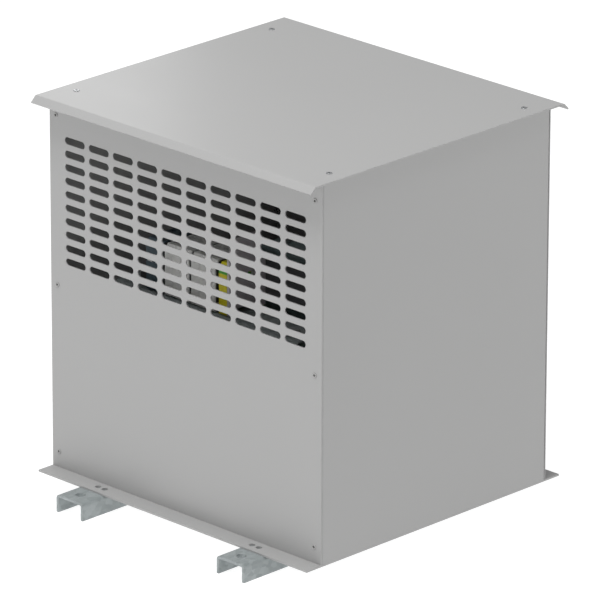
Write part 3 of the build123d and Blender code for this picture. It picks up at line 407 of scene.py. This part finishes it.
def end_stops_painted_shade():
    """Mauve-grey end bracket on the right, a painted-shade copy of the terminal grey; near-black painted
    shadow on the low stop left of the terminals.
    """
    finish = Finish("mauve_plastic", roughness=0.45)
    tone = finish.noise(scale=35.0, detail=3.0)
    # mauve-grey is painted shade: the terminal grey as it looks on a shaded side face
    shade_tinted_grey = finish.mix(tone, (0.58, 0.545, 0.565), (0.64, 0.60, 0.62))
    dark = finish.mix(tone, (0.035, 0.035, 0.038), (0.055, 0.055, 0.058))
    # left of X = 0 the colour turns near-black: painted shadow on the low stop
    painted_shadow_left = finish.calculate("LESS_THAN", finish.axis("X"), 0.0)
    finish.color(finish.mix(painted_shadow_left, shade_tinted_grey, dark))
    grain = finish.noise(scale=1800.0, detail=2.0, roughness=0.6)
    finish.bump(grain, strength=0.12, distance=0.04 * MM)
    return finish.material


FINISHES = {
    "housing_paint": powder_coat(),
    "galvanised_steel": galvanised(),
    "zinc_fasteners": zinc_plate("zinc_fasteners", (0.36, 0.37, 0.38), (0.50, 0.51, 0.52), roughness=0.34),
    "painted_fasteners": moulded("painted_fasteners", (0.36, 0.36, 0.355), (0.40, 0.40, 0.395)),
    "clamp_steel": clamp_primer(),
    "core_steel": laminations(),
    "copper": enamelled_copper(),
    "insulation_wrap": insulation_film(),
    "insulation_board": fibre_board(),
    "terminal_grey": moulded("terminal_grey", (0.80, 0.80, 0.78), (0.87, 0.87, 0.85)),
    "terminal_blue": moulded("terminal_blue", (0.055, 0.085, 0.105), (0.080, 0.120, 0.145)),
    "earth_yellow_green": earth_stripes(),
    "dark_plastic": moulded("dark_plastic", (0.030, 0.031, 0.033), (0.050, 0.051, 0.054)),
    # end stops coloured with painted shade and painted shadow
    "mauve_plastic": end_stops_painted_shade(),
    "black_rubber": rubber(),
    "lead_black": moulded(
        "lead_insulation", (0.020, 0.020, 0.022), (0.034, 0.034, 0.037), roughness=0.5
    ),
    "plate_aluminium": anodised(),
    "tinned_copper": zinc_plate("tinned_copper", (0.52, 0.51, 0.48), (0.66, 0.65, 0.61), roughness=0.3),
}


def dress_nodes():
    """Gives every CAD node the finish of its material slot."""
    for entry in frame["record"]["subparts"]:
        for holder in frame["nodes"][entry["node"]].material_slots:
            holder.material = FINISHES[entry["material_slot"]]


# ---------------------------------------------------------------- new pieces
BEVEL_SEGMENTS = 3


def node_box(name):
    """Lowest and highest corners of a CAD node."""
    low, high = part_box(name)
    return Vector(low), Vector(high)


def add_piece(name, work, slot, bevel=0.0):
    """Turns a bmesh into a piece, rounds its edges, finishes it and fixes it to the transformer."""
    bmesh.ops.recalc_face_normals(work, faces=work.faces)
    mesh = bpy.data.meshes.new(name)
    work.to_mesh(mesh)
    work.free()
    mesh.materials.append(FINISHES[slot])
    piece = bpy.data.objects.new(name, mesh)
    bpy.context.scene.collection.objects.link(piece)
    if bevel:
        rounding = piece.modifiers.new("rounding", "BEVEL")
        rounding.width = bevel
        rounding.segments = BEVEL_SEGMENTS
        rounding.limit_method = "ANGLE"
    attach(piece, "root")
    return piece


def add_prism(work, outline, low_x, high_x):
    """Adds a closed prism with an outline of (y, z) points between two x values."""
    near = [work.verts.new((low_x, y, z)) for y, z in outline]
    far = [work.verts.new((high_x, y, z)) for y, z in outline]
    work.faces.new(reversed(near))
    work.faces.new(far)
    for index in range(len(outline)):
        after = (index + 1) % len(outline)
        work.faces.new((near[index], near[after], far[after], far[index]))


# ---------------------------------------------------------------- plates and tags on the terminals
TERMINAL_GROUPS = ("neutral_terminals", "primary_terminals", "secondary_terminals")
TERMINAL_PITCH = 12.0 * MM
SHOULDER_Z = 9.0 * MM
SHOULDER_Y = 4.5 * MM
END_PLATE_INSET = 1.0 * MM
END_PLATE_LIFT = 10.0 * MM
END_PLATE_NEAR = 0.1 * MM
END_PLATE_FAR = 1.4 * MM
END_PLATE_BEVEL = 0.2 * MM
TAG_WIDE = 6.5 * MM
TAG_TALL = 6.0 * MM
TAG_THICK = 0.8 * MM
TAG_SLOPE = 0.6 * MM
TAG_BELOW_TOP = 25.0 * MM
TAG_BEVEL = 0.15 * MM


def end_plate_outline(low, high):
    """Side outline of a terminal with sloped shoulders, drawn in and lifted off its foot."""
    front, rear = low.y + END_PLATE_INSET, high.y - END_PLATE_INSET
    bottom, top = low.z + END_PLATE_LIFT, high.z - END_PLATE_INSET
    return [
        (front, bottom),
        (front, top - SHOULDER_Z),
        (front + SHOULDER_Y, top),
        (rear - SHOULDER_Y, top),
        (rear, top - SHOULDER_Z),
        (rear, bottom),
    ]


def make_end_plates():
    """Dark closing plate on the open right side of each group of terminals."""
    work = bmesh.new()
    for node in TERMINAL_GROUPS:
        low, high = node_box(node)
        add_prism(work, end_plate_outline(low, high), high.x + END_PLATE_NEAR, high.x + END_PLATE_FAR)
    add_piece("terminal_end_plates", work, "dark_plastic", END_PLATE_BEVEL)


def make_marker_tags():
    """Blank snap-in marker tag on the front of every terminal."""
    work = bmesh.new()
    for node in TERMINAL_GROUPS:
        low, high = node_box(node)
        width = high.x - low.x
        count = round(width / TERMINAL_PITCH)
        bottom = high.z - TAG_BELOW_TOP
        outline = [
            (low.y, bottom),
            (low.y, bottom + TAG_TALL),
            (low.y - TAG_THICK, bottom + TAG_TALL - TAG_SLOPE),
            (low.y - TAG_THICK, bottom + TAG_SLOPE),
        ]
        for index in range(count):
            middle = low.x + (index + 0.5) * width / count
            add_prism(work, outline, middle - TAG_WIDE / 2, middle + TAG_WIDE / 2)
    add_piece("marker_tags", work, "terminal_grey", TAG_BEVEL)


# ---------------------------------------------------------------- rivets of the blank plate
RIVET_R = 1.7 * MM
RIVET_HEIGHT = 0.8 * MM
RIVET_INSET = 4.0 * MM
RIVET_RINGS = 4
RIVET_SIDES = 20


def add_dome(work, x, y, z):
    """Adds a low domed head whose flat side lies at y, facing +Y."""
    rings = []
    for ring in range(RIVET_RINGS):
        lean = ring / RIVET_RINGS * math.pi / 2
        radius = RIVET_R * math.cos(lean)
        height = RIVET_HEIGHT * math.sin(lean)
        turns = [side * FULL_TURN / RIVET_SIDES for side in range(RIVET_SIDES)]
        rings.append([
            work.verts.new((x + radius * math.cos(turn), y + height, z + radius * math.sin(turn)))
            for turn in turns
        ])
    crown = work.verts.new((x, y + RIVET_HEIGHT, z))
    work.faces.new(rings[0])
    for side in range(RIVET_SIDES):
        after = (side + 1) % RIVET_SIDES
        for lower, upper in zip(rings, rings[1:]):
            work.faces.new((lower[side], lower[after], upper[after], upper[side]))
        work.faces.new((rings[-1][side], rings[-1][after], crown))


def make_plate_rivets():
    """Four domed rivets that hold the blank plate at its corners."""
    low, high = node_box("rating_plate")
    work = bmesh.new()
    for x in (low.x + RIVET_INSET, high.x - RIVET_INSET):
        for z in (low.z + RIVET_INSET, high.z - RIVET_INSET):
            add_dome(work, x, high.y, z)
    piece = add_piece("plate_rivets", work, "plate_aluminium")
    for face in piece.data.polygons:
        face.use_smooth = True


make_camera()
make_lights()
make_floor()
dress_nodes()
make_end_plates()
make_marker_tags()
make_plate_rivets()

bpy.context.scene.view_settings.view_transform = "Standard"
